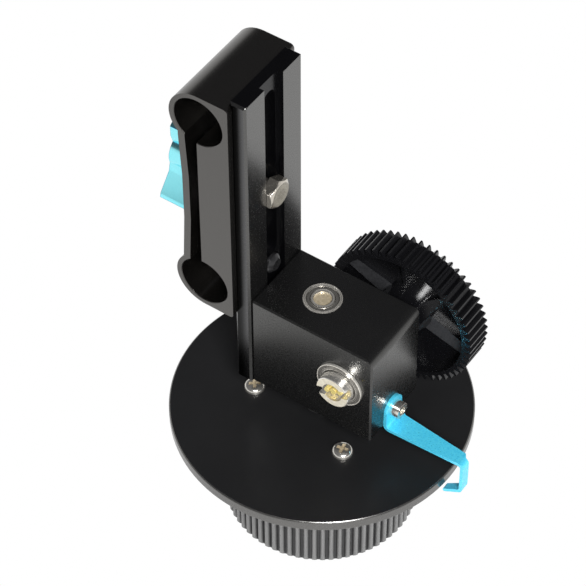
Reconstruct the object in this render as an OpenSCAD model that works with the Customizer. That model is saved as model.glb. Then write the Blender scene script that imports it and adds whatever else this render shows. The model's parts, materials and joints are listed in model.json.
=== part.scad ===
// Follow focus unit: a handwheel with a focus disc turns a lens gear through a right-angle gearbox.
// The gearbox hangs on a slotted slide bar, which a double rod clamp holds on a pair of support rods.
// Frame: origin at the centre of the handwheel's resting face, +Z up along the handwheel axis,
// +Y along the rod bores and the lens gear shaft, +X along the gearbox, away from the slide bar.

/* [Handwheel] */
// Diameter over the grip ribs of the knob
knob_d = 56.4; // [50:0.2:60]
// Height of the knob from its resting face to the focus disc
knob_h = 35.6; // [30:0.1:42]
// Number of grip ribs
knob_ribs = 72; // [60:1:84]
// Depth of the grooves between the grip ribs
rib_depth = 1.1; // [0.6:0.1:1.5]
// Wall of the hollow knob, measured under the grooves
knob_wall = 2.6; // [2:0.1:4]
// Thickness of the closed end of the knob
knob_floor = 5; // [4:0.1:7]
// Chamfer round the resting edge of the knob
knob_chamfer = 1.2; // [0.4:0.1:2]
// Diameter of the hub inside the knob
hub_d = 18; // [16:0.5:22]
// Length of the shaft's seat in the hub
hub_seat = 24; // [18:0.5:26]
// Diameter of the focus disc
disc_d = 86.4; // [80:0.2:92]
// Thickness of the focus disc
disc_t = 3.6; // [2.6:0.1:4.4]
// Chamfer of the focus disc's rim
disc_chamfer = 0.4; // [0.2:0.1:0.8]
// Radius of the circle of disc screws
disc_screw_r = 19.6; // [17:0.1:20]
// Angle of the first disc screw
disc_screw_angle = 201; // [0:1:359]
// Number of disc screws
disc_screw_count = 3; // [3:1:4]
// Diameter of the bosses that take the disc screws
disc_boss_d = 7; // [6:0.1:7.4]
// Gap between the knob and the white marking ring
ring_knob_gap = 2.4; // [1.6:0.1:4]
// Margin between the white marking ring and the focus disc's rim
ring_margin = 2.6; // [1.4:0.1:4]
// Thickness of the white marking ring
ring_t = 0.6; // [0.4:0.1:1]
// Depth of the marking ring's seat in the disc
ring_seat = 0.4; // [0.2:0.1:0.8]

/* [Gearbox] */
// Length of the gearbox from the slide bar to its free end
box_l = 39.1; // [38.7:0.1:44]
// Distance from the handwheel axis to the slide bar's face
box_back = 15.3; // [14:0.1:15.7]
// Width of the gearbox
box_w = 23.5; // [22.6:0.1:26]
// Height of the gearbox
box_h = 33.3; // [31:0.1:38]
// Gap between the focus disc and the gearbox
box_gap = 9.9; // [8:0.1:14]
// Height of the drive shaft above the gearbox's lower face
drive_up = 18.4; // [17.4:0.1:20]
// Edge chamfer of the gearbox
box_chamfer = 0.5; // [0.2:0.1:0.8]
// Edge radius at the top of the gearbox's free end
box_round = 3; // [1:0.1:3.4]
// Edge radius at the bottom of the gearbox on the lens gear's side
box_low_round = 2.6; // [1:0.1:3]

/* [Gears] */
// Normal module of the two inner gears
inner_normal_module = 0.81; // [0.78:0.01:0.82]
// Module of the lens gear
lens_module = 0.794; // [0.76:0.002:0.82]
// Pressure angle
pressure_angle = 20; // [18:0.5:22]
// Teeth of each inner gear
inner_teeth = 12; // [12:1:12]
// Helix angle of the inner gears, which cross at a right angle
helix_angle = 45; // [45:1:45]
// Length of the spacer between the drive gear and the rear bearing
drive_spacer_l = 1.05; // [0.8:0.05:1.6]
// Diameter of the inner gears' hubs
inner_hub_d = 11; // [10.5:0.1:11.4]
// Length of the inner gears' hubs
inner_hub_l = 3.4; // [2.6:0.1:3.6]
// Diameter of the pins through those hubs
gear_pin_d = 1.6; // [1:0.1:2]
// Play of each gear on its pitch circle
gear_play = 0.14; // [0.08:0.01:0.24]
// Teeth of the lens gear
lens_teeth = 56; // [52:1:58]
// Width of the lens gear's teeth
lens_face_w = 9; // [7:0.1:10]
// Gap between the gearbox and the lens gear's teeth
lens_gap = 5.75; // [5:0.05:9]
// Gap between the gearbox and the lens gear's hub
lens_hub_gap = 1.2; // [0.8:0.1:2]
// Diameter of the lens gear's hub
lens_hub_d = 15.4; // [14:0.1:18]
// Radial thickness of the lens gear's rim under the teeth
lens_rim = 1.1; // [0.9:0.1:3]
// Thickness of the lens gear's web
lens_web_t = 1.8; // [1.4:0.1:3]
// Depth of the recess in the lens gear's outer face
lens_recess = 1.2; // [1:0.1:2.4]
// Width of a thin rib of the lens gear
lens_rib_w = 1.2; // [0.8:0.1:2]
// Width of the two broad ribs of the lens gear at its hub
lens_pad_w = 6.3; // [4:0.1:8]
// Width of the two broad ribs of the lens gear at its rim
lens_pad_end_w = 4; // [3:0.1:8]
// Setback of the ribs from the lens gear's near face
lens_rib_set = 4.6; // [3:0.1:5]
// Turn of the lens gear's ribs from the gearbox's length
lens_rib_angle = -20; // [-90:1:90]
// Turn of the lens gear's first tooth from the gearbox's length
lens_turn = -1.75; // [-3:0.25:3]

/* [Shafts and bearings] */
// Diameter of both shafts
shaft_d = 8; // [7.6:0.1:8.4]
// Diameter of the handwheel shaft in its upper bearing
journal_d = 5; // [4.6:0.1:5.6]
// Depth of the flats on the shafts' ends
shaft_flat = 0.7; // [0.4:0.1:1]
// Outer diameter of the lower and the rear bearing
main_brg_d = 16; // [15.9:0.1:16.4]
// Width of the lower and the rear bearing
main_brg_w = 5; // [4:0.1:5.2]
// Outer diameter of the upper bearing
top_brg_d = 11; // [10.4:0.1:12]
// Width of the upper bearing
top_brg_w = 4; // [3:0.1:4.4]
// Outer diameter of the front bearing
front_brg_d = 12; // [11.6:0.1:12.6]
// Width of the front bearing, flange included
front_brg_w = 3.5; // [3:0.1:3.6]
// Diameter of the front bearing's flange
front_flange_d = 14.2; // [13.2:0.1:14.8]
// Thickness of the front bearing's flange
front_flange_t = 0.8; // [0.5:0.1:1]
// Thickness of the retaining rings
clip_t = 0.9; // [0.6:0.1:1]
// Land outside each retaining ring's groove
clip_land = 0.8; // [0.6:0.1:1]
// Radial width of the retaining rings
clip_w = 1.5; // [1.2:0.1:1.8]
// Outer diameter of the spacers on the shafts
spacer_d = 10.4; // [10:0.1:11]
// Diameter of the drive shaft's front boss
boss_d = 10.2; // [9.6:0.1:10.6]
// Length of the drive shaft's front boss
boss_l = 3.2; // [3.2:0.1:6]
// Width of the slot across the front boss
boss_slot_w = 2.6; // [1.6:0.1:3]
// Depth of the slot across the front boss
boss_slot_depth = 2.2; // [1.4:0.1:2.4]
// Turn of the boss's slot from the gearbox's length
boss_slot_angle = 18; // [0:1:90]
// Diameter of the socket in the front boss
socket_d = 6; // [5:0.1:6.6]
// Depth of the socket in the front boss
socket_depth = 2.6; // [2.5:0.1:2.7]

/* [Slide bar] */
// Thickness of the slide bar
bar_t = 4.8; // [4.2:0.1:6]
// Width of the slide bar
bar_w = 25.1; // [24:0.1:26]
// Height of the slide bar
bar_h = 105.8; // [98:0.2:120]
// Width of the channel that keeps the bolt's head from turning
channel_w = 8.3; // [8.2:0.05:8.6]
// Depth of that channel
channel_depth = 1.6; // [1.2:0.1:2.4]
// Width of the slot for the clamp bolt
slot_w = 5.4; // [5.3:0.1:6.2]
// Height of the slot's lower end above the gearbox
slot_low = 7.2; // [7.1:0.1:9]
// Distance from the slot's upper end to the bar's top
slot_top = 4.5; // [3:0.1:8]
// Edge chamfer of the slide bar
bar_chamfer = 0.6; // [0.3:0.1:1]
// Height of the stop screw above the gearbox
stop_up = 4.1; // [3.8:0.1:4.1]

/* [Rod clamp] */
// Diameter of the support rods
rod_d = 15; // [14:0.1:16]
// Spacing of the support rods
rod_pitch = 60; // [56:0.5:64]
// Radial clearance of a rod in the open clamp
rod_fit = 0.05; // [0.03:0.01:0.08]
// Wall round the rod bores
boss_wall = 1.55; // [1.2:0.05:2.4]
// Length of the clamp along the rods
clamp_w = 29.6; // [28:0.1:32]
// Distance from the slide bar's rear face to the rod axis
rod_stand = 8.5; // [8.2:0.1:11]
// Height of the clamp bolt above the gearbox
bolt_up = 32.4; // [30:0.1:44]
// Width of the gap between the clamp's web and its jaw
slit_w = 3.05; // [2.4:0.05:3.4]
// Distance from the rod axis to that gap
slit_set = 0.6; // [0.4:0.1:1.4]
// Thickness of the jaw
jaw_t = 2.15; // [2:0.05:3]
// Bow of the jaw towards the web at its middle
jaw_bow = 0.75; // [0.3:0.05:0.9]
// Length of the jaw's flat middle
jaw_flat = 16; // [13.5:0.5:18]
// Depth by which the clamp wraps the slide bar
wrap = 0.85; // [0.6:0.05:2]
// Corner radius of the clamp where it meets the bar
clamp_round = 1.2; // [0.6:0.1:1.5]
// Chamfer of the rod bores' mouths
bore_chamfer = 0.2; // [0.1:0.1:0.6]
// Diameter of the clamp bolt
bolt_d = 5; // [4.8:0.1:5.1]
// Width of the bolt's head across its flats
bolt_af = 8; // [7.8:0.1:8.1]
// Height of the bolt's head
bolt_head_h = 3.5; // [3:0.1:4.4]

/* [Clamp lever] */
// Thickness of the lever's hub
lever_t = 10.7; // [9:0.1:12]
// Thickness of the lever's arm
lever_arm_t = 9.2; // [7:0.1:10]
// Diameter of the lever's hub
lever_hub_d = 11.4; // [11:0.1:13]
// Reach of the lever's arm from the bolt axis
lever_reach = 15.2; // [12:0.1:17]
// Reach of the lever's short horn
lever_horn = 12; // [9:0.1:14]
// Diameter of the threaded bush in the lever
bush_d = 7.4; // [6.6:0.1:9]
// Length of the threaded bush
bush_l = 7.6; // [6:0.1:8.4]

/* [Pointer] */
// Thickness of the pointer's strip
strip_t = 1; // [0.8:0.1:1.6]
// Inner radius of the strip's bends
strip_bend = 0.8; // [0.5:0.1:1.2]
// Width of the pointer's tab
tab_w = 7.7; // [7:0.1:9]
// Height of the pointer's screw above the gearbox's lower face
tab_up = 5.4; // [4.6:0.1:6]
// Offset of the tab's middle from the gearbox's middle plane
tab_shift = -1.3; // [-2:0.1:2]
// Height of the arm's upper face above the focus disc
arm_up = 9.9; // [8.6:0.1:11.2]
// Width of the arm where it leaves the tab
arm_root_w = 7; // [5:0.1:8]
// Width of the arm at its outer end
arm_tip_w = 4.2; // [3:0.1:5]
// Sideways run of the arm's near edge between the tab and the leg
arm_run = 0.75; // [0:0.05:2]
// Gap between the pointer's leg and the focus disc's rim
leg_gap = 5.1; // [5:0.1:7]
// Width of the pointer's leg
leg_w = 3; // [2:0.1:3.6]
// Height of the leg's straight part above the focus disc's lower face
leg_foot = 2.9; // [2.6:0.1:3.2]
// Bend between the leg and the pointer's tip, in degrees
tip_bend = 58; // [54:1:62]
// Length of the pointer's tip below that bend
tip_l = 5.2; // [4:0.1:5.4]
// Width towards which the pointer's tip narrows
tip_w = 1.8; // [1:0.1:2.4]

/* [Hidden] */
$fn = 96;

// Clearances and the overrun of cuts
seat_fit = 0.02;      // radial clearance of pressed and seated pieces
slide_fit = 0.15;     // clearance of pieces that slide on each other
running_fit = 0.05;   // radial clearance of pieces that turn in each other
cut = 0.5;            // overrun of cuts past a surface

// Heights along the handwheel axis
disc_z = knob_h;
disc_top = disc_z + disc_t;
box_z = disc_top + box_gap;
box_top = box_z + box_h;
drive_z = box_z + drive_up;
bar_top = box_z + bar_h;
bolt_z = box_top + bolt_up;

// Radii of the handwheel
knob_r = knob_d / 2;
knob_inner_r = knob_r - rib_depth - knob_wall;
disc_r = disc_d / 2;
ring_inner_r = knob_r + ring_knob_gap;
ring_outer_r = disc_r - ring_margin;
shaft_r = shaft_d / 2;
journal_r = journal_d / 2;

// One grip rib: shares of the rib pitch round the knob, and of the rib depth
rib_shares = [[-0.5, 0], [-0.36, 0], [-0.27, 0.66], [-0.12, 1], [0.12, 1], [0.27, 0.66], [0.36, 0]];

// Gears: the inner pair are crossed helical gears, so their transverse module is larger
inner_module = inner_normal_module / cos(helix_angle);
inner_pitch_r = inner_module * inner_teeth / 2;
inner_pressure = atan(tan(pressure_angle) / cos(helix_angle));
inner_tip_r = inner_pitch_r + inner_normal_module;
inner_slices = 8;
inner_steps = 3;
drive_x = 2 * inner_pitch_r;
dedendum_share = 1.25;
lens_pitch_r = lens_module * lens_teeth / 2;
lens_root_r = lens_pitch_r - dedendum_share * lens_module;
lens_rim_r = lens_root_r - lens_rim;
lens_steps = 3;
lens_rib_count = 6;

// Places along the drive shaft
face_y = box_w / 2;
lens_y = face_y + lens_gap;
lens_end_y = lens_y + lens_face_w;
lens_hub_y = face_y + lens_hub_gap;
cavity_r = inner_tip_r + slide_fit;
hub_hole_r = inner_hub_d / 2 + slide_fit;
main_brg_r = main_brg_d / 2;
rear_brg_y = face_y - clip_land - clip_t - main_brg_w;
inner_face_w = 2 * (rear_brg_y - drive_spacer_l);
inner_twist = inner_face_w * tan(helix_angle) / inner_pitch_r * 180 / PI;
lower_brg_z = box_z + clip_land + clip_t;
upper_brg_z = box_top - top_brg_w;
front_seat_depth = front_brg_w - front_flange_t;
boss_y = -face_y - front_flange_t;
boss_step = 0.4;
boss_chamfer = 0.2;
shoulder_rise = 0.6;
shoulder_r = shaft_r + shoulder_rise;
inner_gear_z = drive_z - inner_face_w / 2;
input_hub_z = inner_gear_z - inner_hub_l;
drive_hub_y = -inner_face_w / 2 - inner_hub_l;

// Shares of a bearing's radial section: ball radius and half the gap between its rings
ball_share = 0.28;
ring_gap_share = 0.18;
ball_space_share = 1.9;
shield_share = 0.07;
shield_set_share = 0.05;

// Screws: diameter, head diameter and head height, by kind
m3 = 3;
pan_head_d = 6;
pan_head_h = 1.9;
sink_head_d = 5.8;
sink_head_h = 1.6;
cap_head_d = 5;
cap_head_h = 2.6;
cross_w = 0.9;
cross_l = 3.2;
cross_depth = 1;
hex_key = 2.5;
hex_key_depth = 1.5;
disc_screw_l = 9;
bar_screw_l = 9.5;
bar_screw_y = 8;
bar_screw_low = 8;
bar_screw_high = 25;
stop_screw_l = 3.4;
pointer_screw_l = 7;
m4 = 4;
end_head_d = 7;
end_head_h = 2.4;
end_screw_l = 10;
washer_t = 0.8;
lens_washer_d = 10.6;
cap_d = 12;
cap_t = 1.6;
knob_screw_head_d = 7;
knob_screw_head_h = 4;
knob_screw_l = 14;
insert_d = 2;
insert_proud = 0.5;
lobe_r = 0.8;

// Slide bar and clamp
bar_face_x = -box_back;
bar_rear_x = bar_face_x - bar_t;
channel_x = bar_face_x - channel_depth;
slot_z = box_top + slot_low;
slot_end_z = bar_top - slot_top;
rod_x = bar_rear_x - rod_stand;
rod_r = rod_d / 2 + rod_fit;
rod_boss_r = rod_r + boss_wall;
upper_rod_z = bolt_z + rod_pitch / 2;
lower_rod_z = bolt_z - rod_pitch / 2;
slit_x = rod_x - slit_set;
jaw_x = slit_x - slit_w;
jaw_face_x = jaw_x - jaw_t;
slit_flare = jaw_bow;
washer_d = 12;
lever_x = jaw_face_x - washer_t;
lever_end_x = lever_x - lever_t;
bolt_end_x = lever_x - bush_l;

// Outline of the lever's arm and horn, as shares of the arm's and the horn's reach from the bolt
arm_shares = [[0.1, -0.42], [-0.3, -0.96], [-0.68, -0.73], [-0.66, -0.64], [-0.39, -0.31],
              [-0.3, 0.12], [0.2, 0.2]];
horn_shares = [[-0.36, 0], [-0.29, 0.33], [-0.37, 0.6], [-0.37, 0.9], [-0.24, 1], [-0.05, 0.93],
               [0.12, 0.6], [0.4, 0]];

// Pointer
tab_x = box_l - box_back;
leg_x = disc_r + leg_gap;
arm_top = disc_top + arm_up;
leg_low = disc_z + leg_foot;
tab_z = box_z + tab_up;
tab_near_y = tab_shift - tab_w / 2;
leg_near_y = tab_near_y + arm_run;
tab_hole_r = m3 / 2 + slide_fit;
bend_steps = 10;

function polar(r, a) = [r * cos(a), r * sin(a)];
function arc(centre, r, from, to) =
    [for (i = [0:bend_steps]) centre + polar(r, from + (to - from) * i / bend_steps)];
function involute_deg(a) = tan(a) * 180 / PI - a;

// Outline of a gear, from the root to the tip and back on each tooth
function gear_outline(teeth, pitch_r, pressure, addendum, play, steps) =
    let (base_r = pitch_r * cos(pressure),
         root_r = pitch_r - dedendum_share * addendum,
         depth = addendum + dedendum_share * addendum,
         half = 90 / teeth - play / pitch_r * 90 / PI + involute_deg(pressure),
         radii = [for (i = [0:steps]) root_r + depth * i / steps],
         halves = [for (r = radii) half - (r > base_r ? involute_deg(acos(base_r / r)) : 0)])
    [for (t = [0:teeth - 1], i = [0:2 * steps + 1])
        i <= steps ? polar(radii[i], t * 360 / teeth - halves[i])
                   : polar(radii[2 * steps + 1 - i], t * 360 / teeth + halves[2 * steps + 1 - i])];

function knob_outline() =
    [for (i = [0:knob_ribs - 1], s = rib_shares)
        polar(knob_r - rib_depth * (1 - s[1]), (i + s[0]) * 360 / knob_ribs)];

// A rectangle from the origin with cut corners
function chamfered(a, b, c) =
    [[c, 0], [a - c, 0], [a, c], [a, b - c], [a - c, b], [c, b], [0, b - c], [0, c]];

module along_x(from, length) translate([from, 0, 0]) rotate([90, 0, 90]) linear_extrude(length) children();
module along_y(from, length) translate([0, from + length, 0]) rotate([90, 0, 0]) linear_extrude(length) children();

// A cylinder or tube along X or Y
module rod_x_dir(from, length, r) translate([from, 0, 0]) rotate([0, 90, 0]) cylinder(h = length, r = r);
module rod_y_dir(from, length, r) translate([0, from, 0]) rotate([-90, 0, 0]) cylinder(h = length, r = r);

module tube(h, r_out, r_in) {
    difference() {
        cylinder(h = h, r = r_out);
        translate([0, 0, -cut]) cylinder(h = h + 2 * cut, r = r_in);
    }
}

// What is cut off a shaft along +Z for its flat
module flat_cut(from, length) {
    translate([-shaft_d, shaft_r - shaft_flat, from]) cube([2 * shaft_d, shaft_d, length]);
}

// A bar with one flat, along +Z
module flatted(h, r, flat) {
    intersection() {
        cylinder(h = h, r = r);
        translate([-r, -r, 0]) cube([2 * r, 2 * r - flat, h]);
    }
}

// Screws stand with the head's underside at z = 0, the head up and the shank down
module cross_recess(top) {
    for (a = [0, 90]) {
        rotate([0, 0, a]) translate([-cross_l / 2, -cross_w / 2, top - cross_depth]) cube([cross_l, cross_w, cross_depth + cut]);
    }
}

module hex_recess(top, key, depth) translate([0, 0, top - depth]) cylinder(h = depth + cut, d = key / cos(30), $fn = 6);

module pan_screw(l) {
    edge_share = 0.45;
    crown_share = 0.6;
    difference() {
        union() {
            rotate_extrude() polygon([[0, 0], [pan_head_d / 2, 0], [pan_head_d / 2, pan_head_h * edge_share],
                                      [pan_head_d / 2 * crown_share, pan_head_h], [0, pan_head_h]]);
            translate([0, 0, -l]) cylinder(h = l, d = m3);
        }
        cross_recess(pan_head_h);
    }
}

// The sunk screw's head lies below z = 0
module sunk_screw(l) {
    difference() {
        union() {
            translate([0, 0, -sink_head_h]) cylinder(h = sink_head_h, d1 = m3, d2 = sink_head_d);
            translate([0, 0, -l]) cylinder(h = l, d = m3);
        }
        hex_recess(0, hex_key * 0.8, hex_key_depth);
    }
}

module cap_screw(l, d, head_d, head_h, key) {
    difference() {
        union() {
            cylinder(h = head_h, d = head_d);
            translate([0, 0, -l]) cylinder(h = l, d = d);
        }
        hex_recess(head_h, key, hex_key_depth);
    }
}

// Bearings stand on z = 0 with their axis along Z
module bearing_section(r_in, r_out, w) {
    span = r_out - r_in;
    mid = (r_in + r_out) / 2;
    translate([mid, w / 2]) circle(r = ball_share * span + running_fit / 2, $fn = 48);
}

module outer_ring(r_in, r_out, w) {
    mid = (r_in + r_out) / 2;
    gap = ring_gap_share * (r_out - r_in);
    rotate_extrude() difference() {
        translate([mid + gap, 0]) square([r_out - mid - gap, w]);
        bearing_section(r_in, r_out, w);
    }
}

module inner_ring(r_in, r_out, w) {
    mid = (r_in + r_out) / 2;
    gap = ring_gap_share * (r_out - r_in);
    rotate_extrude() difference() {
        translate([r_in, 0]) square([mid - gap - r_in, w]);
        bearing_section(r_in, r_out, w);
    }
}

module balls(r_in, r_out, w) {
    mid = (r_in + r_out) / 2;
    ball_r = ball_share * (r_out - r_in);
    count = floor(PI * mid / (ball_space_share * ball_r));
    for (i = [0:count - 1]) rotate([0, 0, i * 360 / count]) translate([mid, 0, w / 2]) sphere(r = ball_r, $fn = 32);
}

module shields(r_in, r_out, w) {
    mid = (r_in + r_out) / 2;
    gap = ring_gap_share * (r_out - r_in);
    t = shield_share * w;
    set = shield_set_share * w;
    for (z = [set, w - set - t]) translate([0, 0, z]) tube(t, mid + gap - seat_fit, mid - gap + running_fit);
}

// The seats of the four bearings, each with its children drawn along +Z from the bearing's lower end
module at_lower_bearing() translate([0, 0, lower_brg_z]) children();
module at_upper_bearing() translate([0, 0, upper_brg_z]) children();
module at_rear_bearing() translate([drive_x, rear_brg_y, drive_z]) rotate([-90, 0, 0]) children();
module at_front_bearing() translate([drive_x, boss_y, drive_z]) rotate([-90, 0, 0]) children();
module on_drive_axis() translate([drive_x, 0, drive_z]) children();

main_in = shaft_r + seat_fit;
main_out = main_brg_r - seat_fit;
top_in = journal_r + seat_fit;
top_out = top_brg_d / 2 - seat_fit;
front_out = front_brg_d / 2 - seat_fit;

module gearbox_body() {
    color([0.06, 0.06, 0.07])
    difference() {
        intersection() {
            translate([bar_face_x, face_y, box_z]) rotate([90, 0, 0]) linear_extrude(box_w) box_side_outline();
            translate([bar_face_x, -face_y, box_z]) linear_extrude(box_h) polygon(chamfered(box_l, box_w, box_chamfer));
            translate([bar_face_x, -face_y, box_z]) rotate([90, 0, 90]) linear_extrude(box_l) box_end_outline();
        }
        // Handwheel shaft: bearing seats, gear room and shaft way
        translate([0, 0, box_z - cut]) cylinder(h = cut + clip_land + clip_t + main_brg_w, r = main_brg_r);
        translate([0, 0, box_z]) cylinder(h = drive_up + inner_face_w / 2 + slide_fit, r = cavity_r);
        translate([0, 0, drive_z]) cylinder(h = box_h, r = journal_r + ring_gap_share * top_brg_d);
        translate([0, 0, upper_brg_z]) cylinder(h = top_brg_w + cut, d = top_brg_d);
        translate([0, 0, box_z + clip_land]) cylinder(h = clip_t, r = main_brg_r + clip_w / 2);
        // Drive shaft: the same along Y
        on_drive_axis() {
            rod_y_dir(rear_brg_y, face_y - rear_brg_y + cut, main_brg_r);
            rod_y_dir(-inner_face_w / 2 - slide_fit, inner_face_w + face_y, cavity_r);
            rod_y_dir(drive_hub_y - slide_fit, inner_hub_l + inner_face_w, hub_hole_r);
            rod_y_dir(-face_y, face_y, shaft_r + slide_fit);
            rod_y_dir(-face_y - cut, front_seat_depth + cut, front_brg_d / 2);
            rod_y_dir(face_y - clip_land - clip_t, clip_t, main_brg_r + clip_w / 2);
        }
        bar_screw_places() rod_x_dir(0, bar_screw_l - bar_t + cut, m3 / 2 + seat_fit);
        translate([tab_x + cut, tab_shift, tab_z]) rod_x_dir(-pointer_screw_l - cut, pointer_screw_l + cut, m3 / 2 + seat_fit);
    }
}

module box_side_outline() {
    difference() {
        polygon(chamfered(box_l, box_h, box_chamfer));
        translate([box_l - box_round, box_h - box_round]) square(box_round + cut);
    }
    translate([box_l - box_round, box_h - box_round]) circle(r = box_round);
}

module box_end_outline() {
    difference() {
        polygon(chamfered(box_w, box_h, box_chamfer));
        translate([box_w - box_low_round, -cut]) square(box_low_round + cut);
    }
    translate([box_w - box_low_round, box_low_round]) circle(r = box_low_round);
}

// Children of bar_screw_places start at the slide bar's front face and run along +X
module bar_screw_places() {
    for (y = [-bar_screw_y, bar_screw_y], z = [bar_screw_low, bar_screw_high]) {
        translate([bar_face_x, y, box_z + z]) children();
    }
}

module slide_bar() {
    color([0.05, 0.05, 0.06])
    difference() {
        intersection() {
            translate([bar_rear_x, -bar_w / 2, box_z]) linear_extrude(bar_h) polygon(chamfered(bar_t, bar_w, bar_chamfer));
            translate([bar_rear_x, -bar_w / 2, box_z]) rotate([90, 0, 90]) linear_extrude(bar_t)
                polygon(chamfered(bar_w, bar_h, bar_chamfer));
        }
        translate([channel_x, -channel_w / 2, box_z - cut]) cube([channel_depth + cut, channel_w, bar_h + 2 * cut]);
        translate([bar_rear_x - cut, 0, 0]) {
            for (z = [slot_z + slot_w / 2, slot_end_z - slot_w / 2]) translate([0, 0, z]) rod_x_dir(0, bar_t + 2 * cut, slot_w / 2);
            translate([0, -slot_w / 2, slot_z + slot_w / 2]) cube([bar_t + 2 * cut, slot_w, slot_end_z - slot_z - slot_w]);
        }
        bar_screw_places() {
            rod_x_dir(-bar_t - cut, bar_t + 2 * cut, m3 / 2 + slide_fit);
            translate([-bar_t - seat_fit, 0, 0]) rotate([0, 90, 0])
                cylinder(h = sink_head_h + seat_fit, d1 = sink_head_d + 2 * seat_fit, d2 = m3 + 2 * seat_fit);
        }
        translate([bar_rear_x - cut, 0, box_top + stop_up]) rod_x_dir(0, bar_t + cut, m3 / 2 + seat_fit);
    }
}

module slide_bar_screws() {
    color("dimgray")
    bar_screw_places() translate([-bar_t, 0, 0]) rotate([0, -90, 0]) sunk_screw(bar_screw_l);
}

module slot_stop_screw() {
    color([0.1, 0.1, 0.1])
    translate([channel_x, 0, box_top + stop_up]) rotate([0, 90, 0]) pan_screw(bar_t - channel_depth);
}

// Side outline of the pointer's bent strip: down the tab, along the arm, down the leg, round the tip and back
function strip_outline() =
    let (r_out = strip_bend + strip_t,
         tab_top = tab_z + tab_w,
         tab_bend = [tab_x + r_out, arm_top - strip_t + r_out],
         leg_bend = [leg_x - strip_bend, arm_top - r_out],
         foot_bend = [leg_x - strip_bend, leg_low],
         nose = foot_bend + polar(strip_bend + strip_t / 2, -tip_bend) + polar(tip_l, -tip_bend - 90))
    concat([[tab_x, tab_top]],
           arc(tab_bend, r_out, 180, 270),
           arc(leg_bend, strip_bend, 90, 0),
           arc(foot_bend, strip_bend, 0, -tip_bend),
           arc(nose, strip_t / 2, 180 - tip_bend, 360 - tip_bend),
           arc(foot_bend, r_out, -tip_bend, 0),
           arc(leg_bend, r_out, 0, 90),
           arc(tab_bend, strip_bend, 270, 180),
           [[tab_x + strip_t, tab_top]]);

module pointer() {
    r_out = strip_bend + strip_t;
    root_x = tab_x + r_out;
    low_z = leg_low - tip_l;
    color([0.2, 0.68, 0.88])
    difference() {
        intersection() {
            translate([0, face_y, 0]) rotate([90, 0, 0]) linear_extrude(box_w) polygon(strip_outline());
            translate([0, 0, low_z - cut]) linear_extrude(bar_h)
                polygon([[tab_x - cut, tab_near_y], [root_x, tab_near_y],
                         [leg_x - strip_bend, leg_near_y], [leg_x + strip_t + cut, leg_near_y],
                         [leg_x + strip_t + cut, leg_near_y + leg_w], [leg_x, leg_near_y + leg_w],
                         [leg_x - strip_bend, leg_near_y + arm_tip_w], [root_x + strip_t, tab_near_y + arm_root_w],
                         [root_x, tab_near_y + tab_w], [tab_x - cut, tab_near_y + tab_w]]);
            along_x(tab_x - cut, leg_x - tab_x + strip_t + 2 * cut) {
                translate([tab_shift, tab_z]) circle(d = tab_w);
                translate([tab_near_y, arm_top - r_out]) square([tab_w, tab_z - arm_top + r_out]);
                polygon([[leg_near_y, arm_top], [leg_near_y, low_z - cut], [leg_near_y + tip_w, low_z - cut],
                         [leg_near_y + leg_w, leg_low], [leg_near_y + leg_w, arm_top]]);
            }
        }
        translate([0, tab_shift, tab_z]) rod_x_dir(tab_x - cut, strip_t + 2 * cut, tab_hole_r);
    }
}

module pointer_screw() {
    color("silver")
    translate([tab_x + strip_t, tab_shift, tab_z]) rotate([0, 90, 0])
        cap_screw(pointer_screw_l, m3, cap_head_d, cap_head_h, hex_key);
}

module bearing_outer_rings() {
    color("gainsboro") {
        at_lower_bearing() outer_ring(main_in, main_out, main_brg_w);
        at_rear_bearing() outer_ring(main_in, main_out, main_brg_w);
        at_upper_bearing() outer_ring(top_in, top_out, top_brg_w);
        at_front_bearing() {
            outer_ring(main_in, front_out, front_brg_w);
            tube(front_flange_t, front_flange_d / 2, front_out - seat_fit);
        }
    }
}

module bearing_balls() {
    color("silver") {
        at_lower_bearing() balls(main_in, main_out, main_brg_w);
        at_rear_bearing() balls(main_in, main_out, main_brg_w);
        at_upper_bearing() balls(top_in, top_out, top_brg_w);
        at_front_bearing() balls(main_in, front_out, front_brg_w);
    }
}

module bearing_shields() {
    color("lightgray") {
        at_lower_bearing() shields(main_in, main_out, main_brg_w);
        at_rear_bearing() shields(main_in, main_out, main_brg_w);
        at_upper_bearing() shields(top_in, top_out, top_brg_w);
        at_front_bearing() shields(main_in, front_out, front_brg_w);
    }
}

// An open ring that springs into its groove, drawn along +Z
module retaining_ring() {
    gap_share = 0.5;
    outer = main_brg_r + clip_w / 2 - seat_fit;
    translate([0, 0, seat_fit]) difference() {
        tube(clip_t - 2 * seat_fit, outer, outer - clip_w);
        translate([0, -clip_w * gap_share, -cut]) cube([outer + cut, 2 * clip_w * gap_share, clip_t + 2 * cut]);
    }
}

module retaining_rings() {
    color("gray") {
        translate([0, 0, box_z + clip_land]) retaining_ring();
        on_drive_axis() translate([0, face_y - clip_land - clip_t, 0]) rotate([-90, 0, 0]) retaining_ring();
    }
}

// Side outline of the rod clamp, seen along -Y with X to the right and Z up
module clamp_outline() {
    top = upper_rod_z + rod_boss_r;
    bottom = lower_rod_z - rod_boss_r;
    front = bar_rear_x + wrap;
    difference() {
        union() {
            for (z = [upper_rod_z, lower_rod_z]) translate([rod_x, z]) circle(r = rod_boss_r);
            translate([rod_x, bottom]) square([front - clamp_round - rod_x, top - bottom]);
            translate([front - 2 * clamp_round, bottom + clamp_round]) square([2 * clamp_round, top - bottom - 2 * clamp_round]);
            for (z = [top - clamp_round, bottom + clamp_round]) translate([front - clamp_round, z]) circle(r = clamp_round);
            jaw_outline(jaw_face_x - slit_flare, jaw_face_x, rod_x);
        }
        for (z = [upper_rod_z, lower_rod_z]) translate([rod_x, z]) circle(r = rod_r);
        jaw_outline(jaw_x - slit_flare, jaw_x, slit_x);
    }
}

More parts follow.
